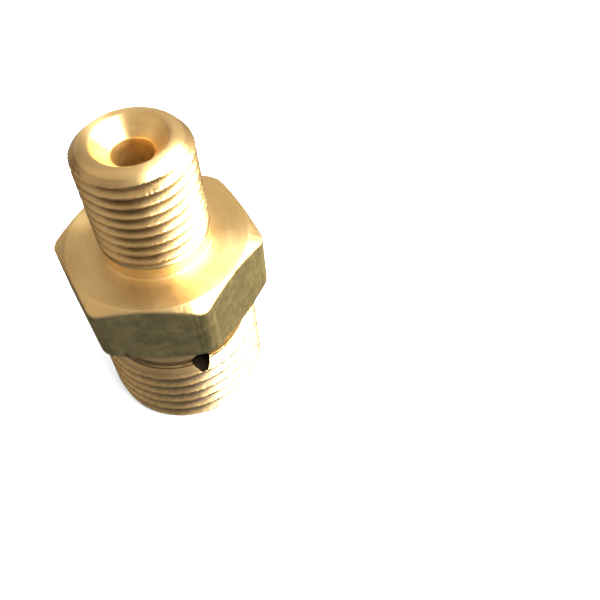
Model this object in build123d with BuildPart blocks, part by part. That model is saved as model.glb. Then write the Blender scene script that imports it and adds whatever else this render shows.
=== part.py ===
"""Twin-fluid oil burner nozzle: a brass body with two male threads, and the oil and air parts inside it.

Millimetres, +Z up. The nozzle's axis is Z. The origin is the centre of the large end's rim, which the
nozzle stands on. The oil inlet is the small threaded end at the top. The spray leaves through the air
cap in the large end, and atomising air comes in through the port drilled in the relief neck.
"""

import os
from math import cos, radians, sin, sqrt, tan

from build123d import *

os.makedirs("parts", exist_ok=True)

# ---- Body, outside ---------------------------------------------------------------------------------
total_height = 43.3

burner_thread_diameter = 22.0  # M22 x 2, screws into the burner head
burner_thread_pitch = 2.0
burner_thread_rings = 6
burner_thread_end = 12.6  # where the thread stops and the relief neck starts
burner_end_chamfer = 1.4

neck_diameter = 19.3

hex_across_flats = 23.5
hex_bottom = 17.6
hex_top = 27.6
hex_corner_radius = 2.0
hex_chamfer_angle = 30.0
hex_face_radius = 11.5  # the turned circle that the corner chamfers leave on each face

inlet_thread_diameter = 14.0  # M14 x 1.5, takes the oil line's union nut
inlet_thread_pitch = 1.5
inlet_thread_rings = 8
inlet_thread_start = 30.0
inlet_end_face_radius = 5.5
inlet_end_chamfer = 1.3
shank_fillet = 0.6

thread_depth_share = 0.6134  # ISO metric external thread: depth over pitch
crest_share = 1 / 8  # crest flat over pitch

# ---- Body, inside ----------------------------------------------------------------------------------
inlet_bore_radius = 2.5
seat_mouth_radius = 4.5
seat_depth = 2.0
filter_chamber_radius = 4.6
filter_chamber_top = 36.1
drill_point_height = 1.2
stem_bore_radius = 6.0
stem_bore_top = 25.6
stem_bore_bottom = 20.0
air_chamber_radius = 7.0
cap_bore_radius = 8.0
cap_bore_top = 10.8
mouth_chamfer = 0.4

air_port_radius = 1.25
air_port_height = 12.8
air_port_angle = -65.0  # about Z from +X, close to the hexagon's corner at -60

# ---- Inner stem ------------------------------------------------------------------------------------
stem_tube_radius = 4.4
stem_spigot_radius = 3.4  # threaded end that the tip nut screws on
stem_bottom = 7.2
tip_nut_top = 10.4
stem_flange_radius = 6.7
stem_flange_bottom = 17.2
stem_flange_top = 19.2
stem_slot_width = 1.6  # spanner notches in the flange
stem_thread_radius = 5.98
stem_shoulder = 25.4
filter_spigot_radius = 2.5
stem_top = 28.1
oil_passage_radius = 1.2
valve_chamber_radius = 2.6
valve_seat_top = 16.4

# ---- Check valve -----------------------------------------------------------------------------------
ball_radius = 2.0
ball_gap = 0.02
spring_wire_radius = 0.25
spring_mean_radius = 1.75
spring_turns = 5

# ---- Oil tip ---------------------------------------------------------------------------------------
cone_slope = 0.625  # rise over radius of the cap's inner cone, the nose and the nut's front
cap_cone_low = 3.4
cap_orifice_radius = 1.1
air_gap = 0.6  # along the axis, between the nose and the cap's inner cone with the cap fully home
nose_flat_radius = 0.8
nose_radius = 1.9
spray_orifice_radius = 0.3
spray_orifice_top = 4.4
swirl_cone_top = 6.1
swirl_cone_radius = 2.0
disc_flange_radius = 2.55
disc_flange_bottom = 5.5
disc_top = 7.1
distributor_top = 8.8
distributor_post_top = 10.2
slide_gap = 0.05
thread_gap = 0.02

# ---- Air parts -------------------------------------------------------------------------------------
swirl_ring_radius = 5.8
swirl_ring_bottom = 6.6
swirl_ring_top = 8.2
swirl_slots = 8
swirl_slot_width = 1.1
swirl_slot_slant = 35.0
cap_radius = 7.95
cap_bottom = 2.2
cap_top = 10.2
cap_cavity_radius = 5.9
cap_flare_radius = 2.6
cap_flare_height = 0.7
cap_edge_chamfer = 0.5
o_ring_groove_low = 8.4
o_ring_groove_high = 9.8
o_ring_groove_radius = 6.8
o_ring_section_radius = 0.57
pin_hole_radius = 0.8
pin_hole_circle = 4.9
pin_hole_depth = 1.2

# ---- Filter ----------------------------------------------------------------------------------------
holder_radius = 4.2
holder_top = 27.9
holder_step_radius = 3.2
holder_step_top = 29.5
filter_wall = 0.9
filter_top = 35.1
filter_tip_radius = 3.8
filter_rim_fillet = 0.8


def thread_rings(major_radius, pitch, first_crest, count):
    """Outline points, going up, of `count` crests at the thread's own pitch and profile, root to root."""
    depth = thread_depth_share * pitch
    half_crest = crest_share * pitch / 2
    flank = depth * tan(radians(30))
    points = []
    for ring in range(count):
        middle = first_crest + ring * pitch
        points.append((major_radius - depth, middle - half_crest - flank))
        points.append((major_radius, middle - half_crest))
        points.append((major_radius, middle + half_crest))
        points.append((major_radius - depth, middle + half_crest + flank))
    return points


def cone_height(radius, offset=0.0):
    """Height, at a radius, of the cap's inner cone, or of the cone that lies `offset` above it."""
    return cap_cone_low + cone_slope * (radius - cap_orifice_radius) + offset


def save(part, name):
    """Label a finished piece and write it as one STEP file."""
    part.label = name
    export_step(part, f"parts/{name}.step")


# ---- Hexagon collar, joined into the body below ----------------------------------------------------
burner_radius = burner_thread_diameter / 2
inlet_radius = inlet_thread_diameter / 2
neck_radius = neck_diameter / 2
corner_distance = hex_across_flats / 2 / cos(radians(30))
chamfer_drop = (corner_distance - hex_face_radius) * tan(radians(hex_chamfer_angle))

with BuildPart() as hex_collar:
    with BuildSketch(Plane.XY.offset(hex_bottom)):
        RegularPolygon(corner_distance, 6)
    extrude(amount=hex_top - hex_bottom)
    fillet(hex_collar.edges().filter_by(Axis.Z), hex_corner_radius)
    with BuildSketch(Plane.XZ):
        with BuildLine():
            Polyline(
                (0, hex_bottom),
                (hex_face_radius, hex_bottom),
                (corner_distance, hex_bottom + chamfer_drop),
                (corner_distance, hex_top - chamfer_drop),
                (hex_face_radius, hex_top),
                (0, hex_top),
                close=True,
            )
        make_face()
    revolve(axis=Axis.Z, mode=Mode.INTERSECT)

# ---- Nozzle body -----------------------------------------------------------------------------------
first_burner_crest = burner_end_chamfer + crest_share * burner_thread_pitch / 2
last_inlet_crest = total_height - inlet_end_chamfer - crest_share * inlet_thread_pitch / 2
first_inlet_crest = last_inlet_crest - (inlet_thread_rings - 1) * inlet_thread_pitch
burner_rings = thread_rings(burner_radius, burner_thread_pitch, first_burner_crest, burner_thread_rings)
inlet_rings = thread_rings(inlet_radius, inlet_thread_pitch, first_inlet_crest, inlet_thread_rings)

with BuildPart() as nozzle_body:
    with BuildSketch(Plane.XZ):
        with BuildLine():
            Polyline(
                (0, 0),
                (burner_radius - burner_end_chamfer, 0),
                # the end chamfer runs into the first crest, and the last root into the neck
                *burner_rings[1:],
                (neck_radius, burner_thread_end),
                (neck_radius, hex_bottom + 1),
                (inlet_radius - 0.1, hex_top - 1),
                (inlet_radius - 0.1, inlet_thread_start),
                *inlet_rings[:-1],
                (inlet_end_face_radius, total_height),
                (0, total_height),
                close=True,
            )
        make_face()
    revolve(axis=Axis.Z)
    add(hex_collar.part)
    shank_root = (
        nozzle_body.edges()
        .filter_by(GeomType.CIRCLE)
        .filter_by(lambda e: abs(e.radius - (inlet_radius - 0.1)) < 0.01 and abs(e.center().Z - hex_top) < 0.01)
    )
    fillet(shank_root, shank_fillet)
    with BuildSketch(Plane.XZ):
        with BuildLine():
            Polyline(
                (0, 0),
                (cap_bore_radius + mouth_chamfer, 0),
                (cap_bore_radius, mouth_chamfer),
                (cap_bore_radius, cap_bore_top),
                (air_chamber_radius, cap_bore_top),
                (air_chamber_radius, stem_bore_bottom),
                (stem_bore_radius, stem_bore_bottom),
                (stem_bore_radius, stem_bore_top),
                (filter_chamber_radius, stem_bore_top),
                (filter_chamber_radius, filter_chamber_top),
                (inlet_bore_radius, filter_chamber_top + drill_point_height),
                (inlet_bore_radius, total_height - seat_depth),
                (seat_mouth_radius, total_height),
                (0, total_height),
                close=True,
            )
        make_face()
    revolve(axis=Axis.Z, mode=Mode.SUBTRACT)
    port_direction = (cos(radians(air_port_angle)), sin(radians(air_port_angle)), 0)
    with BuildSketch(Plane(origin=(0, 0, air_port_height), z_dir=port_direction)):
        Circle(air_port_radius)
    extrude(amount=burner_radius + 1, mode=Mode.SUBTRACT)

# ---- Inner stem: oil tube, valve seat, and the thread that holds it in the body ---------------------
seat_bottom = valve_seat_top - (valve_chamber_radius - oil_passage_radius)

with BuildPart() as inner_stem:
    with BuildSketch(Plane.XZ):
        with BuildLine():
            Polyline(
                (valve_chamber_radius, stem_bottom),
                (stem_spigot_radius, stem_bottom),
                (stem_spigot_radius, tip_nut_top + slide_gap),
                (stem_tube_radius, tip_nut_top + slide_gap),
                (stem_tube_radius, stem_flange_bottom),
                (stem_flange_radius, stem_flange_bottom),
                (stem_flange_radius, stem_flange_top),
                (stem_thread_radius, stem_flange_top),
                (stem_thread_radius, stem_shoulder),
                (filter_spigot_radius, stem_shoulder),
                (filter_spigot_radius, stem_top),
                (oil_passage_radius, stem_top),
                (oil_passage_radius, valve_seat_top),
                (valve_chamber_radius, seat_bottom),
                close=True,
            )
        make_face()
    revolve(axis=Axis.Z)
    with BuildSketch(Plane.XY.offset(stem_flange_bottom)):
        with PolarLocations(stem_flange_radius, 4):
            Rectangle(2 * stem_slot_width, stem_slot_width)
    extrude(amount=stem_flange_top - stem_flange_bottom, mode=Mode.SUBTRACT)

# ---- Copper washer between the stem's flange and the body -------------------------------------------
with BuildPart() as stem_washer:
    with BuildSketch(Plane.XY.offset(stem_flange_top)):
        Circle(stem_flange_radius)
        Circle(stem_bore_radius + slide_gap, mode=Mode.SUBTRACT)
    extrude(amount=stem_bore_bottom - stem_flange_top)

# ---- Filter: brass holder on the stem, and a sintered bronze thimble on the holder ------------------
with BuildPart() as filter_holder:
    with BuildSketch(Plane.XY.offset(stem_shoulder)):
        Circle(holder_radius)
    extrude(amount=holder_top - stem_shoulder)
    with BuildSketch(Plane.XY.offset(holder_top)):
        Circle(holder_step_radius)
    extrude(amount=holder_step_top - holder_top)
    with BuildSketch(Plane.XY.offset(stem_shoulder)):
        Circle(filter_spigot_radius)
    extrude(amount=stem_top - stem_shoulder, mode=Mode.SUBTRACT)
    with BuildSketch(Plane.XY.offset(stem_shoulder)):
        Circle(oil_passage_radius + 0.6)
    extrude(amount=holder_step_top - stem_shoulder, mode=Mode.SUBTRACT)

with BuildPart() as sintered_filter:
    with BuildSketch(Plane.XZ):
        with BuildLine():
            Polyline(
                (holder_step_radius, holder_top),
                (holder_radius, holder_top),
                (filter_tip_radius, filter_top),
                (0, filter_top),
                (0, filter_top - filter_wall),
                (filter_tip_radius - filter_wall, filter_top - filter_wall),
                (holder_step_radius, holder_step_top),
                close=True,
            )
        make_face()
    revolve(axis=Axis.Z)
    outer_rim = (
        sintered_filter.edges().filter_by(GeomType.CIRCLE).filter_by(lambda e: e.center().Z > filter_top - 0.01)
    )
    fillet(outer_rim, filter_rim_fillet)

# ---- Check valve: ball and spring --------------------------------------------------------------------
contact = ball_radius * cos(radians(45))
ball_height = valve_seat_top - (contact - oil_passage_radius) - contact - ball_gap
spring_bottom = distributor_top + spring_wire_radius
nest = sqrt((ball_radius + spring_wire_radius) ** 2 - spring_mean_radius**2)
spring_top = ball_height - nest - ball_gap

with BuildPart() as check_ball:
    with Locations((0, 0, ball_height)):
        Sphere(ball_radius)

with BuildPart() as check_spring:
    with BuildLine():
        spring_path = Helix(
            pitch=(spring_top - spring_bottom) / spring_turns,
            height=spring_top - spring_bottom,
            radius=spring_mean_radius,
            center=(0, 0, spring_bottom),
        )
    with BuildSketch(Plane(origin=spring_path @ 0, z_dir=spring_path % 0)):
        Circle(spring_wire_radius)
    sweep(path=spring_path, is_frenet=True)

# ---- Distributor: the plug that makes the oil spin ----------------------------------------------------
swirl_rise = (swirl_cone_top - spray_orifice_top) / (swirl_cone_radius - spray_orifice_radius)
plug_radius = swirl_cone_radius - slide_gap
plug_tip_radius = 0.4
plug_lift = 0.08  # the plug's cone stands this far off the disc's cone

with BuildPart() as distributor:
    with BuildSketch(Plane.XZ):
        with BuildLine():
            plug_tip_height = spray_orifice_top + swirl_rise * (plug_tip_radius - spray_orifice_radius) + plug_lift
            plug_cone_height = spray_orifice_top + swirl_rise * (plug_radius - spray_orifice_radius) + plug_lift
            Polyline(
                (0, plug_tip_height),
                (plug_tip_radius, plug_tip_height),
                (plug_radius, plug_cone_height),
                (plug_radius, disc_top),
                (valve_chamber_radius - slide_gap, disc_top),
                (valve_chamber_radius - slide_gap, distributor_top),
                (spring_mean_radius - spring_wire_radius - 2 * slide_gap, distributor_top),
                (spring_mean_radius - spring_wire_radius - 2 * slide_gap, distributor_post_top),
                (0, distributor_post_top),
                close=True,
            )
        make_face()
    revolve(axis=Axis.Z)
    # three feed slots, set off centre so that the oil enters the cone at a tangent
    with BuildSketch(Plane.XY.offset(plug_tip_height)):
        with PolarLocations(valve_chamber_radius - 0.2, 3):
            Rectangle(1.2, 0.7)
    extrude(amount=distributor_top - plug_tip_height, mode=Mode.SUBTRACT)

# ---- Spray disc: stainless insert with the oil orifice -------------------------------------------------
with BuildPart() as spray_disc:
    with BuildSketch(Plane.XZ):
        with BuildLine():
            Polyline(
                (spray_orifice_radius, cone_height(nose_flat_radius, air_gap)),
                (nose_flat_radius, cone_height(nose_flat_radius, air_gap)),
                (nose_radius, cone_height(nose_radius, air_gap)),
                (nose_radius, disc_flange_bottom),
                (disc_flange_radius, disc_flange_bottom),
                (disc_flange_radius, disc_top),
                (swirl_cone_radius, disc_top),
                (swirl_cone_radius, swirl_cone_top),
                (spray_orifice_radius, spray_orifice_top),
                close=True,
            )
        make_face()
    revolve(axis=Axis.Z)

# ---- Tip nut: holds the disc and the distributor against the stem --------------------------------------
nut_hole_radius = nose_radius + thread_gap

with BuildPart() as tip_nut:
    with BuildSketch(Plane.XZ):
        with BuildLine():
            Polyline(
                (nut_hole_radius, cone_height(nut_hole_radius, air_gap)),
                (stem_tube_radius, cone_height(stem_tube_radius, air_gap)),
                (stem_tube_radius, tip_nut_top),
                (stem_spigot_radius + thread_gap, tip_nut_top),
                (stem_spigot_radius + thread_gap, disc_top),
                (valve_chamber_radius, disc_top),
                (valve_chamber_radius, disc_flange_bottom),
                (nut_hole_radius, disc_flange_bottom),
                close=True,
            )
        make_face()
    revolve(axis=Axis.Z)
    # two spanner flats
    flat_offset = stem_tube_radius - 0.4
    with BuildSketch(Plane.XY.offset(swirl_ring_top + 0.4)):
        with Locations((flat_offset + 1, 0), (-flat_offset - 1, 0)):
            Rectangle(2, 2 * stem_tube_radius)
    extrude(amount=tip_nut_top - swirl_ring_top - 0.4, mode=Mode.SUBTRACT)

# ---- Swirl ring: slanted slots that spin the atomising air ---------------------------------------------
with BuildPart() as swirl_ring:
    with BuildSketch(Plane.XY.offset(swirl_ring_bottom)):
        Circle(swirl_ring_radius)
        Circle(stem_tube_radius, mode=Mode.SUBTRACT)
    extrude(amount=swirl_ring_top - swirl_ring_bottom)
    slot_middle = (swirl_ring_bottom + swirl_ring_top) / 2
    for slot in range(swirl_slots):
        turn = 360 / swirl_slots * slot
        slot_box = Plane(origin=(0, 0, slot_middle)) * Rotation(0, 0, turn) * Pos(
            swirl_ring_radius, 0, 0
        ) * Rotation(swirl_slot_slant, 0, 0) * Box(1.8, swirl_slot_width, 5, mode=Mode.PRIVATE)
        add(slot_box, mode=Mode.SUBTRACT)

# ---- Air cap: screws in and out of the body's mouth to set the air gap ----------------------------------
with BuildPart() as air_cap:
    with BuildSketch(Plane.XZ):
        with BuildLine():
            Polyline(
                (cap_flare_radius, cap_bottom),
                (cap_radius - cap_edge_chamfer, cap_bottom),
                (cap_radius, cap_bottom + cap_edge_chamfer),
                (cap_radius, o_ring_groove_low),
                (o_ring_groove_radius, o_ring_groove_low),
                (o_ring_groove_radius, o_ring_groove_high),
                (cap_radius, o_ring_groove_high),
                (cap_radius, cap_top),
                (cap_cavity_radius, cap_top),
                (cap_cavity_radius, cone_height(cap_cavity_radius)),
                (cap_orifice_radius, cap_cone_low),
                (cap_orifice_radius, cap_bottom + cap_flare_height),
                close=True,
            )
        make_face()
    revolve(axis=Axis.Z)
    with BuildSketch(Plane.XY.offset(cap_bottom)):
        with PolarLocations(pin_hole_circle, 2):
            Circle(pin_hole_radius)
    extrude(amount=pin_hole_depth, mode=Mode.SUBTRACT)

with BuildPart() as cap_o_ring:
    with BuildSketch(Plane.XZ):
        with Locations(((o_ring_groove_radius + cap_bore_radius) / 2, (o_ring_groove_low + o_ring_groove_high) / 2)):
            Circle(o_ring_section_radius)
    revolve(axis=Axis.Z)

# ---- Write every piece -----------------------------------------------------------------------------------
save(nozzle_body.part, "nozzle_body")
save(inner_stem.part, "inner_stem")
save(stem_washer.part, "stem_washer")
save(filter_holder.part, "filter_holder")
save(sintered_filter.part, "sintered_filter")
save(check_ball.part, "check_ball")
save(check_spring.part, "check_spring")
save(distributor.part, "distributor")
save(spray_disc.part, "spray_disc")
save(tip_nut.part, "tip_nut")
save(swirl_ring.part, "swirl_ring")
save(air_cap.part, "air_cap")
save(cap_o_ring.part, "cap_o_ring")
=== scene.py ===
"""Looks of the oil burner nozzle: a brass body with two cut threads, and the parts inside it.

Lengths are in millimetres until a mesh is made, and then in metres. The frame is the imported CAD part's:
+Z is the nozzle's axis, and the large end's rim stands on the floor at Z = 0.
"""

from math import cos, pi, radians, sin, sqrt, tan

import bmesh
import bpy
import numpy as np
from mathutils import Euler, Matrix, Vector, noise


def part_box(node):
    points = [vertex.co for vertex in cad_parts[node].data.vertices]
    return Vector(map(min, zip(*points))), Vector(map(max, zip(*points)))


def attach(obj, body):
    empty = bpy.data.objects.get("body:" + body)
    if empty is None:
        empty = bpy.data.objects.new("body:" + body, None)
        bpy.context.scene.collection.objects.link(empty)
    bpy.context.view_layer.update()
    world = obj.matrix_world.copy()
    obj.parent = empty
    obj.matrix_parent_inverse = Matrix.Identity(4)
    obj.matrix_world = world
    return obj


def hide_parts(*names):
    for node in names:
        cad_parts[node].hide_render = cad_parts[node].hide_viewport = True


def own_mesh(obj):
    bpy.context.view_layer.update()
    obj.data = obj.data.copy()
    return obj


MM = 0.001
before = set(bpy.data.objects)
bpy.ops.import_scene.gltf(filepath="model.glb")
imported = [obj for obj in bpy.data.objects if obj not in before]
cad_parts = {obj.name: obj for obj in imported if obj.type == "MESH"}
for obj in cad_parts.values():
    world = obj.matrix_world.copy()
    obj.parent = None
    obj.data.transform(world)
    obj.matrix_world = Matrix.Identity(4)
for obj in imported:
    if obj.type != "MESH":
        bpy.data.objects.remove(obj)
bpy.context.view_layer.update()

# ---- Sizes, in millimetres ---------------------------------------------------------------------------
body_low, body_high = (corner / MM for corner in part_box("nozzle_body"))
TOTAL_HEIGHT = body_high.z
ACROSS_FLATS = body_high.y - body_low.y

BURNER_RADIUS = 11.0
BURNER_PITCH = 2.0
BURNER_CHAMFER = 1.4
BURNER_PHASE = 0.82  # share of a turn that the thread is wound on by
BURNER_START = 0.12
NECK_START = 12.0  # where the thread's last crest starts to fall away
NECK_LOW = 12.6
NECK_RADIUS = 9.65
NECK_FILLET = 0.3
HEX_LOW = 17.6
HEX_HIGH = 27.6
HEX_FACE_RADIUS = 11.5
HEX_CORNER_RADIUS = 2.0
EDGE_ROUNDING = 0.22  # between the hexagon's sides and its chamfers
FACE_ROUNDING = 0.1  # where its chamfers meet its end faces
HEX_CHAMFER = radians(30)  # the chamfers' slope from the end faces
INLET_RADIUS = 7.0
INLET_PITCH = 1.5
INLET_PHASE = 0.007
SHANK_RADIUS = 6.9
SHANK_TOP = 29.3
SHANK_RISE = 0.5  # the height in which the shank widens to the small thread's blank
THREAD_FADE = 1.2  # the height in which the small thread reaches its full depth
INLET_END_RADIUS = 5.5
INLET_CHAMFER = 1.3
END_ROUNDING = 0.7
SHANK_FILLET = 0.3
SEAT_MOUTH_RADIUS = 4.5
SEAT_DEPTH = 2.0
SEAT_ROUNDING = 0.12
BORE_RADIUS = 2.5
FILTER_CHAMBER = (4.6, 36.1)  # radius, top
DRILL_POINT = 1.2
STEM_BORE = (6.0, 25.6)
AIR_CHAMBER = (7.0, 20.0)
CAP_BORE = (8.0, 10.8)
MOUTH_CHAMFER = 0.4
MOUTH_ROUNDING = 0.1
RIM_ROUNDING = 0.15

PORT_RADIUS = 1.25
PORT_HEIGHT = 12.8
PORT_ANGLE = radians(-65)
PORT_UNEVENNESS = 0.07
DRILL_LENGTH = 9.0

THREAD_DEPTH = 0.6134  # as a share of the pitch
COLUMNS = 354  # round the body, which keeps its mesh under 200,000 triangles
SAME_POINT = 0.0008  # points nearer than this are merged
SLIVER = 0.0005  # edges shorter than this are dissolved

# A thread's profile over one pitch: height above the crest's middle as a share of the pitch, and depth as a
# share of the thread's depth. The corners of the crest and the root are slightly rounded.
THREAD_PROFILE = (
    (0.0, 0.0),
    (0.05, 0.01),
    (0.085, 0.06),
    (0.13, 0.19),
    (0.25, 0.53),
    (0.37, 0.87),
    (0.41, 0.97),
    (0.46, 1.0),
    (0.54, 1.0),
    (0.6, 0.95),
    (0.76, 0.5),
    (0.915, 0.06),
    (0.955, 0.01),
)

angles = np.linspace(0, 2 * pi, COLUMNS + 1)
ones = np.ones_like(angles)


# ---- Mesh tools --------------------------------------------------------------------------------------
def bend(before, corner, after, setback, steps=2):
    """Rows that round off a corner of the outline: points of a curve from `setback` before it to after it."""
    corner = [c * ones for c in corner]

    def towards(other):
        dr, dz = other[0] - corner[0], other[1] - corner[1]
        length = np.sqrt(dr**2 + dz**2)
        return corner[0] + dr / length * setback, corner[1] + dz / length * setback

    start, end = towards(before), towards(after)
    rows = []
    for step in range(steps + 1):
        t = step / steps
        share = ((1 - t) ** 2, 2 * t * (1 - t), t**2)
        rows.append(tuple(share[0] * start[k] + share[1] * corner[k] + share[2] * end[k] for k in (0, 1)))
    return rows


def straight(start, end, steps):
    """Rows between two points of the outline, without its ends."""
    return [
        tuple(start[k] * ones + (end[k] - start[k]) * step / steps for k in (0, 1))
        for step in range(1, steps)
    ]


def thread_rows(low, high, pitch, phase, radius, outline, fade):
    """Rows that follow a right-handed helix between two heights. `outline` gives the blank's radius at a
    height and `fade` how much of the thread's depth is cut there."""
    shares = np.array([p[0] for p in THREAD_PROFILE])
    depths = np.array([p[1] for p in THREAD_PROFILE])
    turns = int(np.ceil((high - low) / pitch)) + 2
    rows = []
    for turn in range(-1, turns):
        for share in shares:
            z = low + pitch * (turn + share + phase - 1 + angles / (2 * pi))
            z = np.clip(z, low, high)
            place = ((z - low) / pitch - phase - angles / (2 * pi)) % 1.0
            cut = np.interp(place, np.append(shares, 1.0), np.append(depths, 0.0))
            rows.append((np.minimum(radius - cut * THREAD_DEPTH * pitch * fade(z), outline(z)), z))
    return rows


def ring_mesh(name, strips):
    """A closed body of revolution from strips of rows, each strip with its material's number. The last row
    joins the first. Rows may wind up a helix: their ends meet one turn further on and are merged."""
    rows, slots = [], []
    for slot, strip in strips:
        rows += strip
        slots += [slot] * len(strip)
    points = np.zeros((len(rows), COLUMNS + 1, 3))
    for index, (r, z) in enumerate(rows):
        r, z = r * ones, z * ones
        points[index] = np.stack((r * np.cos(angles), r * np.sin(angles), z), axis=1)
    points[np.abs(points) < 1e-9] = 0
    width = COLUMNS + 1
    j, i = np.meshgrid(np.arange(len(rows)), np.arange(COLUMNS), indexing="ij")
    up = (j + 1) % len(rows)
    faces = np.stack((j * width + i, j * width + i + 1, up * width + i + 1, up * width + i), axis=-1)
    mesh = bpy.data.meshes.new(name)
    mesh.from_pydata((points.reshape(-1, 3) * MM).tolist(), [], faces.reshape(-1, 4).tolist())
    mesh.polygons.foreach_set("material_index", np.repeat(slots, COLUMNS).astype(np.int32))
    tidy = bmesh.new()
    tidy.from_mesh(mesh)
    bmesh.ops.remove_doubles(tidy, verts=tidy.verts, dist=SAME_POINT * MM)
    bmesh.ops.dissolve_degenerate(tidy, edges=tidy.edges, dist=SLIVER * MM)
    tidy.to_mesh(mesh)
    tidy.free()
    return mesh


def new_object(name, mesh):
    """Links a mesh into the scene as one object."""
    made = bpy.data.objects.new(name, mesh)
    bpy.context.scene.collection.objects.link(made)
    return made


def smooth(mesh, angle):
    """Smooth shading with sharp edges above an angle in degrees."""
    mesh.shade_smooth()
    mesh.set_sharp_from_angle(angle=radians(angle))


# ---- The body's outline ------------------------------------------------------------------------------
TURNED, THREADED, DRAWN, BORED, PORT = range(5)


def hexagon_radius():
    """The hexagon's radius at each column's angle. Corners lie on +X and -X and are rounded."""
    flat = ACROSS_FLATS / 2
    sector = (angles + radians(30)) % radians(60) - radians(30)  # from the nearest corner
    centre = (flat - HEX_CORNER_RADIUS) / cos(radians(30))
    tangent = np.arctan2(centre * sin(radians(30)), flat)  # from the flat's middle
    on_flat = flat / np.cos(radians(30) - np.abs(sector))
    rounded = centre * np.cos(sector) + np.sqrt(
        np.maximum(HEX_CORNER_RADIUS**2 - (centre * np.sin(sector)) ** 2, 0)
    )
    return np.where(radians(30) - np.abs(sector) <= tangent, on_flat, rounded)


def burner_outline(z):
    """The large thread's blank: its radius at a height."""
    return np.minimum(
        BURNER_RADIUS - BURNER_CHAMFER + z,
        np.interp(z, (NECK_START, NECK_LOW), (BURNER_RADIUS, NECK_RADIUS)),
    )


def inlet_outline(z):
    """The small thread's blank: its radius at a height."""
    start = TOTAL_HEIGHT - INLET_CHAMFER
    slope = (INLET_RADIUS - INLET_END_RADIUS) / INLET_CHAMFER
    return np.minimum(
        np.interp(z, (SHANK_TOP, SHANK_TOP + SHANK_RISE), (SHANK_RADIUS, INLET_RADIUS)),
        INLET_RADIUS - np.maximum(z - start, 0) * slope,
    )


def body_strips():
    """The nozzle body's outline as strips of rows: from the large end's mouth up the outside, and back down
    the inside."""
    rim = BURNER_RADIUS - BURNER_CHAMFER
    hexagon = hexagon_radius()
    drop = (hexagon - HEX_FACE_RADIUS) * tan(HEX_CHAMFER)
    mouth = CAP_BORE[0] + MOUTH_CHAMFER
    burner_zone = (BURNER_START, NECK_LOW)
    slant = np.hypot(INLET_RADIUS - INLET_END_RADIUS, INLET_CHAMFER)
    inlet_zone = (SHANK_TOP, TOTAL_HEIGHT - END_ROUNDING * INLET_CHAMFER / slant)
    low_edge, high_edge = (hexagon, HEX_LOW + drop), (hexagon, HEX_HIGH - drop)
    low_face, high_face = (HEX_FACE_RADIUS * ones, HEX_LOW), (HEX_FACE_RADIUS * ones, HEX_HIGH)
    foot = (SHANK_RADIUS, HEX_HIGH)
    end, lip = (INLET_END_RADIUS, TOTAL_HEIGHT), (SEAT_MOUTH_RADIUS, TOTAL_HEIGHT)
    seat = (BORE_RADIUS, TOTAL_HEIGHT - SEAT_DEPTH)
    drilled_to = (BORE_RADIUS, FILTER_CHAMBER[1] + DRILL_POINT)
    rows = [
        (TURNED, bend((CAP_BORE[0], MOUTH_CHAMFER), (mouth, 0), (rim, 0), MOUTH_ROUNDING)),
        (TURNED, bend((mouth, 0), (rim, 0), (rim + 1, 1), RIM_ROUNDING)),
        (
            THREADED,
            thread_rows(
                *burner_zone,
                BURNER_PITCH,
                BURNER_PHASE,
                BURNER_RADIUS,
                burner_outline,
                lambda z: 1.0,
            ),
        ),
        (TURNED, straight((NECK_RADIUS, NECK_LOW), (NECK_RADIUS, HEX_LOW - 0.4), 5)),
        (TURNED, bend((NECK_RADIUS, NECK_LOW), (NECK_RADIUS, HEX_LOW), low_face, NECK_FILLET, 3)),
        (TURNED, bend((NECK_RADIUS, HEX_LOW), low_face, low_edge, FACE_ROUNDING)),
        (DRAWN, bend(low_face, low_edge, high_edge, EDGE_ROUNDING, 3)),
        (DRAWN, straight((hexagon, HEX_LOW + drop + 0.2), (hexagon, HEX_HIGH - drop - 0.2), 12)),
        (TURNED, bend(low_edge, high_edge, high_face, EDGE_ROUNDING, 3)),
        (TURNED, bend(high_edge, high_face, foot, FACE_ROUNDING)),
        (TURNED, straight(high_face, (SHANK_RADIUS + SHANK_FILLET, HEX_HIGH), 4)),
        (TURNED, bend(high_face, foot, (SHANK_RADIUS, SHANK_TOP), SHANK_FILLET, 5)),
        (
            THREADED,
            thread_rows(
                *inlet_zone,
                INLET_PITCH,
                INLET_PHASE,
                INLET_RADIUS,
                inlet_outline,
                lambda z: np.clip((z - SHANK_TOP) / THREAD_FADE, 0, 1),
            ),
        ),
        (TURNED, bend((INLET_RADIUS, TOTAL_HEIGHT - INLET_CHAMFER), end, lip, END_ROUNDING, 6)),
        (TURNED, bend(end, lip, seat, SEAT_ROUNDING)),
        (TURNED, straight(lip, seat, 4)),
        (BORED, bend(lip, seat, (BORE_RADIUS, FILTER_CHAMBER[1]), SEAT_ROUNDING)),
        (BORED, straight(seat, drilled_to, 4)),
        (BORED, [drilled_to]),
    ]
    inside = [FILTER_CHAMBER, STEM_BORE, AIR_CHAMBER, CAP_BORE]
    tops = [chamber[1] for chamber in inside[1:]] + [MOUTH_CHAMFER]
    for (radius, top), bottom in zip(inside, tops):
        rows.append((BORED, [(radius, top), (radius, bottom)]))
    return rows


CREST_DEPTH = 0.1  # what lies less deep than this under the blank's outline is a crest
BURNER_TEAR, NECK_LIFT, BURNER_LIFT = 0.08, 0.05, 0.04
FIRST_TEAR, FIRST_LIFT = 0.07, 0.05  # on the small thread's first turn
INLET_TEAR, INLET_LIFT = 0.035, 0.03
CHIP_DEPTH, CHIP_LIFT = 0.12, 0.05


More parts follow.
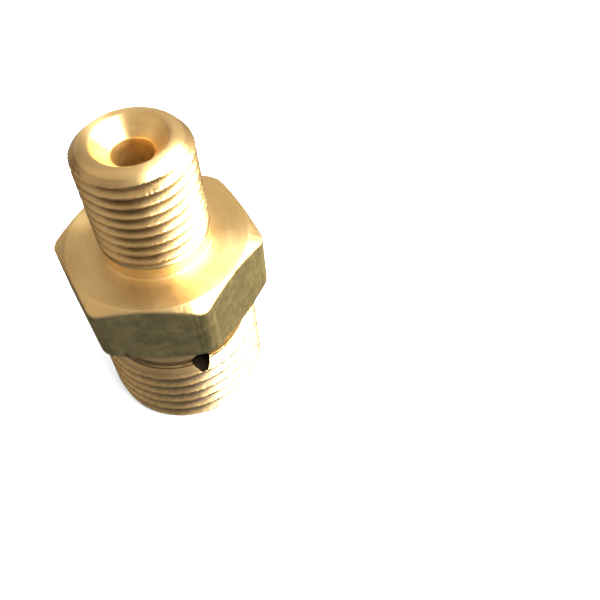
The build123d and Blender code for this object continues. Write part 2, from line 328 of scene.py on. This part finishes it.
def wear(mesh):
    """Tears the threads' crests and nicks the hexagon's upper edges, as on a freshly cut, roughly handled
    fitting. A tear cuts a crest back and a lift moves it along the axis."""
    first_turn = TOTAL_HEIGHT - INLET_CHAMFER - 0.6 * INLET_PITCH
    burner_crests = (0.4, NECK_LOW - 0.02)
    inlet_crests = (SHANK_TOP + 0.3, TOTAL_HEIGHT - 0.9)
    upper_hexagon = ((HEX_LOW + HEX_HIGH) / 2, HEX_HIGH)
    for vertex in mesh.vertices:
        place = vertex.co / MM
        radius = sqrt(place.x**2 + place.y**2)
        z = place.z
        outward = Vector((place.x, place.y, 0)) / radius
        coarse = noise.noise(place * 2.5) + 0.6 * noise.noise(place * 5.3)
        fine = noise.noise(place * 2.9 + Vector((9, 0, 0)))
        if burner_crests[0] < z < burner_crests[1] and burner_outline(z) - radius < CREST_DEPTH:
            at_neck = z > NECK_START - 0.3
            vertex.co -= outward * MM * BURNER_TEAR * max(coarse, 0)
            vertex.co.z += MM * (NECK_LIFT if at_neck else BURNER_LIFT) * fine
        elif inlet_crests[0] < z < inlet_crests[1] and inlet_outline(z) - radius < CREST_DEPTH:
            torn = z > first_turn
            vertex.co -= outward * MM * (FIRST_TEAR if torn else INLET_TEAR) * max(coarse, 0)
            vertex.co.z += MM * (FIRST_LIFT if torn else INLET_LIFT) * fine
        elif upper_hexagon[0] < z < upper_hexagon[1] and radius > HEX_FACE_RADIUS + 0.15:
            chipped = noise.noise(place * 1.3) + 0.5 * noise.noise(place * 3.7) - 0.3
            vertex.co -= outward * MM * CHIP_DEPTH * max(chipped, 0)
            vertex.co.z += MM * CHIP_LIFT * fine


def nozzle_body():
    """The body with its cut threads, and the air port drilled through the neck."""
    mesh = ring_mesh("nozzle_body_cut", body_strips())
    wear(mesh)
    made = new_object("nozzle_body_cut", mesh)
    drill = bmesh.new()
    bmesh.ops.create_cone(
        drill,
        cap_ends=True,
        segments=64,
        radius1=PORT_RADIUS * MM,
        radius2=PORT_RADIUS * MM,
        depth=DRILL_LENGTH * MM,
    )
    for vertex in drill.verts:
        around = Vector((vertex.co.x, vertex.co.y, 0)) / (PORT_RADIUS * MM)
        vertex.co += around * MM * PORT_UNEVENNESS * noise.noise(around * 2.6)
    for face in drill.faces:
        face.material_index = PORT
    turn = Matrix.Rotation(PORT_ANGLE, 4, "Z") @ Matrix.Rotation(radians(90), 4, "Y")
    drill.transform(turn @ Matrix.Translation((0, 0, (BURNER_RADIUS + 1) * MM - DRILL_LENGTH / 2 * MM)))
    drill.transform(Matrix.Translation((0, 0, PORT_HEIGHT * MM)))
    drill_mesh = bpy.data.meshes.new("port_drill")
    drill.to_mesh(drill_mesh)
    drill.free()
    cutter = new_object("port_drill", drill_mesh)
    cut = made.modifiers.new("port", "BOOLEAN")
    cut.operation, cut.solver, cut.object = "DIFFERENCE", "EXACT", cutter
    bpy.context.view_layer.update()
    evaluated = made.evaluated_get(bpy.context.evaluated_depsgraph_get())
    finished = bpy.data.meshes.new_from_object(evaluated)
    made.modifiers.clear()
    made.data = finished
    bpy.data.objects.remove(cutter)
    smooth(finished, 32)
    return made


# ---- Materials ---------------------------------------------------------------------------------------
class Shader:
    """Shorthand for building one node material."""

    def __init__(self, name):
        self.material = bpy.data.materials.new(name)
        self.material.use_nodes = True
        self.tree = self.material.node_tree
        self.surface = self.tree.nodes["Principled BSDF"]
        self.place = self.node("ShaderNodeTexCoord").outputs["Object"]

    def node(self, kind, **settings):
        made = self.tree.nodes.new(kind)
        for key, value in settings.items():
            setattr(made, key, value)
        return made

    def link(self, value, socket):
        """Joins a node's output to a socket, or sets the socket to a constant."""
        if hasattr(value, "is_output"):
            self.tree.links.new(value, socket)
        else:
            socket.default_value = value

    def math(self, operation, a, b=0.0):
        made = self.node("ShaderNodeMath", operation=operation)
        for value, socket in zip((a, b), made.inputs):
            self.link(value, socket)
        return made.outputs[0]

    def noise(self, vector, scale, detail=4.0, roughness=0.55):
        made = self.node("ShaderNodeTexNoise")
        self.link(vector, made.inputs["Vector"])
        made.inputs["Scale"].default_value = scale
        made.inputs["Detail"].default_value = detail
        made.inputs["Roughness"].default_value = roughness
        return made.outputs["Fac"]

    def remap(self, value, low, high, to_low, to_high):
        """`to_low` up to `low`, `to_high` from `high` on, and straight between them."""
        made = self.node("ShaderNodeMapRange")
        for socket, setting in zip(made.inputs, (value, low, high, to_low, to_high)):
            self.link(setting, socket)
        return made.outputs[0]

    def mix(self, share, a, b):
        made = self.node("ShaderNodeMix", data_type="RGBA")
        self.link(share, made.inputs["Factor"])
        self.link(a, made.inputs[6])
        self.link(b, made.inputs[7])
        return made.outputs[2]

    def combine(self, x, y, z):
        made = self.node("ShaderNodeCombineXYZ")
        for value, socket in zip((x, y, z), made.inputs):
            self.link(value, socket)
        return made.outputs[0]

    def stretched(self, x, y, z):
        """Object coordinates scaled along each axis."""
        made = self.node("ShaderNodeMapping")
        self.link(self.place, made.inputs["Vector"])
        made.inputs["Scale"].default_value = (x, y, z)
        return made.outputs[0]

    def bump(self, height, distance, strength=1.0, normal=None):
        made = self.node("ShaderNodeBump")
        made.inputs["Strength"].default_value = strength
        made.inputs["Distance"].default_value = distance
        self.link(height, made.inputs["Height"])
        if normal is not None:
            self.link(normal, made.inputs["Normal"])
        return made.outputs[0]

    def scratches(self, slant, seed):
        """A few short thin scratches that all run about the same way: 1 on a scratch and 0 elsewhere."""
        turned = self.node("ShaderNodeMapping")
        self.link(self.place, turned.inputs["Vector"])
        turned.inputs["Rotation"].default_value = slant
        turned.inputs["Location"].default_value = (seed, seed / 2, seed / 3)
        turned.inputs["Scale"].default_value = (1.0, 1.0, 0.04)
        across = self.noise(turned.outputs[0], 420, 2.0, 0.5)
        line = self.remap(self.math("ABSOLUTE", self.math("SUBTRACT", across, 0.5)), 0.0, 0.006, 1, 0)
        patch = self.remap(self.noise(self.place, 330 + seed, 2.0, 0.5), 0.56, 0.6, 0, 1)
        return self.math("MULTIPLY", line, patch)

    def split_place(self):
        """Object coordinates as three values, in metres."""
        split = self.node("ShaderNodeSeparateXYZ")
        self.link(self.place, split.inputs[0])
        return split.outputs

    def radius(self):
        """Distance from the nozzle's axis, in metres."""
        x, y, z = self.split_place()
        return self.math("SQRT", self.math("ADD", self.math("MULTIPLY", x, x), self.math("MULTIPLY", y, y)))

    def rings(self):
        """Distance along a turned surface, whichever way it faces: it grows with radius and with height."""
        return self.math("ADD", self.radius(), self.math("MULTIPLY", self.split_place()[2], 0.9))


PIT_BROWN = (0.13, 0.085, 0.035, 1)
GRAIN_DEPTH = 0.00001

# Painted shade in the threads' roots: where it lies and where it ends, in millimetres. Each pair goes from
# shaded to unshaded.
INLET_SHADE_RADII = (6.2, 6.78)
BURNER_SHADE_RADII = (10.3, 10.93)
CHAMFER_UNSHADED_HEIGHTS = (40.8, 41.4)
NECK_UNSHADED_HEIGHTS = (11.4, 11.9)
BETWEEN_THREADS = 20.0


def painted_root_shade_fade(s):
    """Painted shade in the threads' roots: 1 on a thread's crests and chamfers and less in its roots, with an
    uneven edge between.
    """

    def ramp(value, limits, at_low, at_high):
        return s.remap(value, limits[0] * MM, limits[1] * MM, at_low, at_high)

    uneven = s.math("MULTIPLY", s.math("SUBTRACT", s.noise(s.place, 1500, 3.0, 0.6), 0.5), 0.6 * MM)
    radius = s.math("ADD", s.radius(), uneven)
    height = s.split_place()[2]
    on_inlet = s.math("GREATER_THAN", height, BETWEEN_THREADS * MM)
    on_burner = s.math("SUBTRACT", 1.0, on_inlet)
    inlet = s.math("MULTIPLY", on_inlet, ramp(radius, INLET_SHADE_RADII, 0.5, 1))
    burner = s.math("MULTIPLY", on_burner, ramp(radius, BURNER_SHADE_RADII, 0, 1))
    on_chamfer = s.math("MULTIPLY", on_inlet, ramp(height, CHAMFER_UNSHADED_HEIGHTS, 0, 1))
    at_neck = s.math("MULTIPLY", on_burner, ramp(height, NECK_UNSHADED_HEIGHTS, 0, 0.7))
    return s.math("MAXIMUM", s.math("ADD", inlet, burner), s.math("ADD", on_chamfer, at_neck))


def turned_brass(name, pale, deep, roughness, groove, streak, root_shade_colour=None):
    """Brass off a lathe: fine tool rings, cloudy tint, and small dark pits. `groove` is the tool rings' depth
    in metres, and `streak` is how far a highlight is drawn out across them. `root_shade_colour` is the colour
    of the painted shade in the threads' roots."""
    s = Shader(name)
    around = s.node("ShaderNodeTangent", direction_type="RADIAL", axis="Z")
    s.link(around.outputs[0], s.surface.inputs["Tangent"])
    s.surface.inputs["Anisotropic"].default_value = streak
    s.surface.inputs["Anisotropic Rotation"].default_value = 0.25
    along = s.rings()
    tool = s.noise(s.combine(along, 0.0, 0.0), 9000, 2.0, 0.6)
    wide = s.noise(s.combine(along, 0.0, 0.0), 1400, 3.0, 0.6)
    cloud = s.noise(s.place, 260, 5.0, 0.6)
    speck = s.noise(s.place, 2600, 3.0, 0.7)
    blended = s.math("ADD", s.math("MULTIPLY", cloud, 0.6), s.math("MULTIPLY", wide, 0.4))
    colour = s.mix(s.remap(blended, 0.35, 0.65, 0, 1), (*deep, 1), (*pale, 1))
    pits = s.remap(speck, 0.28, 0.36, 1, 0)
    colour = s.mix(s.math("MULTIPLY", pits, 0.2), colour, PIT_BROWN)
    # Painted shade: the threads' roots are darkened towards the root shade colour.
    if root_shade_colour:
        colour = s.mix(painted_root_shade_fade(s), (*root_shade_colour, 1), colour)
    s.link(colour, s.surface.inputs["Base Color"])
    s.surface.inputs["Metallic"].default_value = 1.0
    rough = s.remap(cloud, 0.3, 0.7, roughness - 0.05, roughness + 0.07)
    s.link(rough, s.surface.inputs["Roughness"])
    height = s.math("ADD", s.math("MULTIPLY", tool, 0.6), s.math("MULTIPLY", wide, 0.8))
    grooved = s.bump(height, groove)
    s.link(s.bump(speck, GRAIN_DEPTH, normal=grooved), s.surface.inputs["Normal"])
    return s.material


DARK_OLIVE, PALE_OLIVE = (0.27, 0.215, 0.095, 1), (0.45, 0.355, 0.155, 1)
SKIN_PIT, SKIN_SCRATCH = (0.05, 0.04, 0.02, 1), (0.75, 0.65, 0.42, 1)


def drawn_brass(name):
    """The bar's own drawn skin on the hexagon: dull olive and blotchy, with pits, scratches and faint draw
    lines, which are strongest near the corners."""
    s = Shader(name)
    lines = s.noise(s.stretched(1, 1, 0.02), 1700, 3.0, 0.6)
    near_corner = s.remap(s.radius(), 12.3 * MM, 12.9 * MM, 0.12, 0.9)
    cloud = s.noise(s.place, 240, 5.0, 0.65)
    blotch = s.noise(s.place, 900, 4.0, 0.65)
    mottle = s.math("ADD", s.math("MULTIPLY", cloud, 0.5), s.math("MULTIPLY", blotch, 0.35))
    streaks = s.math("MULTIPLY", s.math("SUBTRACT", lines, 0.5), near_corner)
    tint = s.remap(s.math("ADD", mottle, streaks), 0.27, 0.58, 0, 1)
    colour = s.mix(tint, DARK_OLIVE, PALE_OLIVE)
    pits = s.remap(s.noise(s.stretched(1, 1, 0.7), 620, 3.0, 0.6), 0.26, 0.32, 1, 0)
    colour = s.mix(s.math("MULTIPLY", pits, 0.75), colour, SKIN_PIT)
    scratches = s.math("MAXIMUM", s.scratches((0.9, 0.15, 0.35), 31), s.scratches((0.2, 0.4, 1.0), 57))
    colour = s.mix(s.math("MULTIPLY", scratches, 0.7), colour, SKIN_SCRATCH)
    s.link(colour, s.surface.inputs["Base Color"])
    s.surface.inputs["Metallic"].default_value = 1.0
    s.link(s.remap(blotch, 0.3, 0.7, 0.42, 0.56), s.surface.inputs["Roughness"])
    height = s.math("SUBTRACT", s.math("ADD", lines, blotch), s.math("MULTIPLY", pits, 1.5))
    s.link(s.bump(height, 0.00003), s.surface.inputs["Normal"])
    return s.material


def plain_metal(name, pale, deep, roughness, grain, depth):
    """Small inner parts: one metal with fine grain."""
    s = Shader(name)
    fine = s.noise(s.place, grain, 4.0, 0.6)
    cloud = s.noise(s.place, 300, 4.0, 0.6)
    s.link(s.mix(s.remap(cloud, 0.35, 0.65, 0, 1), (*deep, 1), (*pale, 1)), s.surface.inputs["Base Color"])
    s.surface.inputs["Metallic"].default_value = 1.0
    s.link(s.remap(fine, 0.3, 0.7, roughness - 0.06, roughness + 0.08), s.surface.inputs["Roughness"])
    s.link(s.bump(fine, depth), s.surface.inputs["Normal"])
    return s.material


RUBBER_BLACK, RUBBER_GREY = (0.012, 0.012, 0.013, 1), (0.035, 0.034, 0.033, 1)


def rubber(name):
    """Dull black rubber, faintly cloudy."""
    s = Shader(name)
    fine = s.noise(s.place, 5000, 3.0, 0.6)
    s.link(s.mix(s.noise(s.place, 600), RUBBER_BLACK, RUBBER_GREY), s.surface.inputs["Base Color"])
    s.link(s.remap(fine, 0.3, 0.7, 0.55, 0.75), s.surface.inputs["Roughness"])
    s.link(s.bump(fine, GRAIN_DEPTH, 0.8), s.surface.inputs["Normal"])
    return s.material


# Each turned brass: pale colour, deep colour, roughness, groove depth, streak. Each plain metal: pale colour,
# deep colour, roughness, how fine the grain is, and its depth.
brass = turned_brass("brass_turned", (0.88, 0.64, 0.3), (0.79, 0.53, 0.22), 0.38, 0.000012, 0.75)
# Painted shade: the threads' brass is coloured darker than the turned brass of the same body, and its last
# colour darkens the threads' roots.
shaded_thread_brass = turned_brass(
    "brass_threaded_painted_shade", (0.66, 0.45, 0.2), (0.5, 0.33, 0.14), 0.3, 0.000006, 0.2, root_shade_colour=(0.22, 0.16, 0.1)
)
bore_brass = turned_brass("brass_bored", (0.88, 0.6, 0.22), (0.74, 0.46, 0.14), 0.4, 0.00006, 0.35)
# Painted shade: the air port's walls are coloured almost black for the shade inside the hole.
port_shade_brass = turned_brass("brass_port_painted_shade", (0.03, 0.02, 0.012), (0.012, 0.008, 0.005), 0.8, 0.00001, 0.2)
skin_brass = drawn_brass("brass_drawn")
inner_brass = turned_brass("brass_inner", (0.86, 0.63, 0.3), (0.74, 0.5, 0.21), 0.34, 0.00001, 0.6)
copper = plain_metal("copper_annealed", (0.85, 0.47, 0.32), (0.62, 0.3, 0.19), 0.38, 2500, 0.00001)
bronze = plain_metal("bronze_sintered", (0.5, 0.34, 0.17), (0.2, 0.13, 0.06), 0.6, 3200, 0.0002)
steel = plain_metal("steel_turned", (0.62, 0.61, 0.59), (0.45, 0.44, 0.43), 0.3, 3000, 0.00001)
ball_steel = plain_metal("steel_polished", (0.8, 0.8, 0.79), (0.68, 0.68, 0.67), 0.12, 2000, 0.000002)
seal = rubber("rubber_black")

# ---- Pieces ------------------------------------------------------------------------------------------
body = nozzle_body()
for material in (brass, shaded_thread_brass, skin_brass, bore_brass, port_shade_brass):  # in the order of TURNED to PORT
    body.data.materials.append(material)
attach(body, "nozzle")
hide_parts("nozzle_body")

NODE_MATERIALS = {
    "inner_stem": inner_brass,
    "stem_washer": copper,
    "filter_holder": inner_brass,
    "sintered_filter": bronze,
    "check_ball": ball_steel,
    "distributor": inner_brass,
    "spray_disc": steel,
    "tip_nut": inner_brass,
    "swirl_ring": inner_brass,
    "air_cap": inner_brass,
    "cap_o_ring": seal,
}
for node, material in NODE_MATERIALS.items():
    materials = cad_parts[node].data.materials
    materials.clear()
    materials.append(material)

WIRE_RADIUS = 0.25
SPRING_TURNS, STEPS_PER_TURN, STEPS_ROUND_WIRE = 5, 48, 12


def spring_mesh():
    """A coiled wire, as large as the CAD spring, with the height of its foot and its length."""
    low, high = (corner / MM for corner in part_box("check_spring"))
    mean = (high.x - low.x) / 2 - WIRE_RADIUS
    bottom, top = low.z + WIRE_RADIUS, high.z - WIRE_RADIUS
    count = SPRING_TURNS * STEPS_PER_TURN
    points, faces = [], []
    for step in range(count + 1):
        angle = 2 * pi * step / STEPS_PER_TURN
        middle = bottom + (top - bottom) * step / count
        for k in range(STEPS_ROUND_WIRE):
            around = 2 * pi * k / STEPS_ROUND_WIRE
            radius = mean + WIRE_RADIUS * cos(around)
            height = middle + WIRE_RADIUS * sin(around)
            points.append((radius * cos(angle) * MM, radius * sin(angle) * MM, height * MM))
            if step < count:
                here = step * STEPS_ROUND_WIRE + k
                beside = step * STEPS_ROUND_WIRE + (k + 1) % STEPS_ROUND_WIRE
                faces.append((here, here + STEPS_ROUND_WIRE, beside + STEPS_ROUND_WIRE, beside))
    faces.append(tuple(range(STEPS_ROUND_WIRE)))
    faces.append(tuple(reversed(range(count * STEPS_ROUND_WIRE, (count + 1) * STEPS_ROUND_WIRE))))
    mesh = bpy.data.meshes.new("check_spring_wire")
    mesh.from_pydata(points, [], faces)
    smooth(mesh, 50)
    return mesh, low.z, high.z - low.z


wire_mesh, spring_foot, spring_length = spring_mesh()
spring = new_object("check_spring_wire", wire_mesh)
spring.data.materials.append(steel)
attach(spring, "nozzle")
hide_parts("check_spring")
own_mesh(spring)

# ---- Floor, light and camera -------------------------------------------------------------------------
FLOOR_REACH = 4.0  # metres from the middle to each side
floor_corners = [(x * FLOOR_REACH, y * FLOOR_REACH, 0) for x, y in ((-1, -1), (1, -1), (1, 1), (-1, 1))]
floor_mesh = bpy.data.meshes.new("floor")
floor_mesh.from_pydata(floor_corners, [], [(0, 1, 2, 3)])
floor = new_object("floor", floor_mesh)
floor_shader = Shader("floor_paper")
floor_shader.surface.inputs["Base Color"].default_value = (0.9, 0.9, 0.9, 1)
floor_shader.surface.inputs["Roughness"].default_value = 0.9
floor.data.materials.append(floor_shader.material)
floor.visible_glossy = False


def area_light(name, azimuth, elevation, distance, width, height, power, colour):
    """A soft box aimed at the nozzle's middle. Its azimuth is about Z from +X. Angles are in degrees, sizes
    in metres and power in watts."""
    data = bpy.data.lights.new(name, "AREA")
    data.shape, data.size, data.size_y = "RECTANGLE", width, height
    data.energy, data.color = power, colour
    made = bpy.data.objects.new(name, data)
    bpy.context.scene.collection.objects.link(made)
    away = Vector(
        (
            cos(radians(azimuth)) * cos(radians(elevation)),
            sin(radians(azimuth)) * cos(radians(elevation)),
            sin(radians(elevation)),
        )
    )
    made.location = Vector((0, 0, TOTAL_HEIGHT / 2 * MM)) + away * distance
    made.rotation_mode = "QUATERNION"
    made.rotation_quaternion = away.to_track_quat("Z", "Y")
    return made


area_light(
    "window",
    azimuth=-6,
    elevation=43,
    distance=0.35,
    width=0.48,
    height=0.3,
    power=7.5,
    colour=(0.98, 1.0, 1.0),
)

# What the brass mirrors, by direction: +X is to the right, +Y behind and +Z up.
BEHIND_LEFT, BEHIND_RIGHT = (0.26, 0.22, 0.19), (0.9, 0.84, 0.74)
OVERHEAD_FRONT, OVERHEAD = (0.43, 0.4, 0.36), (0.78, 0.7, 0.61)
LOW_FRONT, LOW_LEFT = (0.17, 0.195, 0.245), (0.15, 0.115, 0.09)
LOW_CORNER, LOW_RIGHT = (0.4, 0.38, 0.33), (0.9, 0.79, 0.58)
LOW_BEHIND = (0.6, 0.53, 0.45)
FLOOR_LIGHT = 1.5


def studio_world():
    """A white studio, which lights the floor evenly. What the brass mirrors of it is pale overhead, behind on
    the right and low on the right, dim behind on the left, and dark and cool low in front."""
    world = bpy.data.worlds.new("studio")
    world.use_nodes = True
    tree = world.node_tree

    def node(kind, settings=None, **inputs):
        made = tree.nodes.new(kind)
        for name, value in (settings or {}).items():
            setattr(made, name, value)
        for name, value in inputs.items():
            socket = made.inputs[name.replace("_", " ")]
            if hasattr(value, "is_output"):
                tree.links.new(value, socket)
            else:
                socket.default_value = value
        return made

    def ramp(value, low, high):
        """0 up to `low`, 1 from `high` on, and straight between them."""
        return node("ShaderNodeMapRange", Value=value, From_Min=low, From_Max=high).outputs[0]

    def blend(share, a, b):
        made = node("ShaderNodeMix", {"data_type": "RGBA"}, Factor=share)
        for value, socket in ((a, made.inputs[6]), (b, made.inputs[7])):
            if hasattr(value, "is_output"):
                tree.links.new(value, socket)
            else:
                socket.default_value = (*value, 1)
        return made.outputs[2]

    x, y, z = node("ShaderNodeSeparateXYZ", Vector=node("ShaderNodeTexCoord").outputs["Generated"]).outputs
    weighed = node("ShaderNodeMath", {"operation": "MULTIPLY_ADD"})
    tree.links.new(x, weighed.inputs[0])
    weighed.inputs[1].default_value = 1.4
    tree.links.new(y, weighed.inputs[2])
    to_right = weighed.outputs[0]
    behind = blend(ramp(x, -0.4, -0.1), BEHIND_LEFT, BEHIND_RIGHT)
    overhead = blend(ramp(y, -0.55, -0.15), OVERHEAD_FRONT, OVERHEAD)
    upper = blend(ramp(y, 0.1, 0.6), overhead, behind)
    front = blend(ramp(y, -0.7, 0.0), LOW_FRONT, LOW_LEFT)
    corner = blend(ramp(to_right, -0.3, 0.6), front, LOW_CORNER)
    beside = blend(ramp(to_right, 0.6, 1.4), corner, LOW_RIGHT)
    lower = blend(ramp(y, 0.35, 0.8), beside, LOW_BEHIND)
    seen = node("ShaderNodeBackground", Color=blend(ramp(z, 0.05, 0.5), lower, upper))
    lit = node("ShaderNodeBackground", Color=(1, 1, 1, 1), Strength=FLOOR_LIGHT)
    mirrored = node("ShaderNodeLightPath").outputs["Is Glossy Ray"]
    shown = node("ShaderNodeMixShader", Fac=mirrored)
    tree.links.new(lit.outputs[0], shown.inputs[1])
    tree.links.new(seen.outputs[0], shown.inputs[2])
    tree.links.new(shown.outputs[0], tree.nodes["World Output"].inputs["Surface"])
    return world


bpy.context.scene.world = studio_world()

CAMERA_PLACE = Vector((19.75, -61.7, 94.2))  # millimetres
CAMERA_TILT = Euler((radians(37.45), radians(2.0), radians(-0.53)), "XYZ")
camera_data = bpy.data.cameras.new("camera")
camera_data.sensor_width = 36.0
camera_data.lens = 43.5
camera_data.clip_start, camera_data.clip_end = 0.005, 20.0
camera = bpy.data.objects.new("camera", camera_data)
bpy.context.scene.collection.objects.link(camera)
camera.location = CAMERA_PLACE * MM
camera.rotation_euler = CAMERA_TILT
bpy.context.scene.camera = camera
bpy.context.scene.view_settings.view_transform = "Standard"
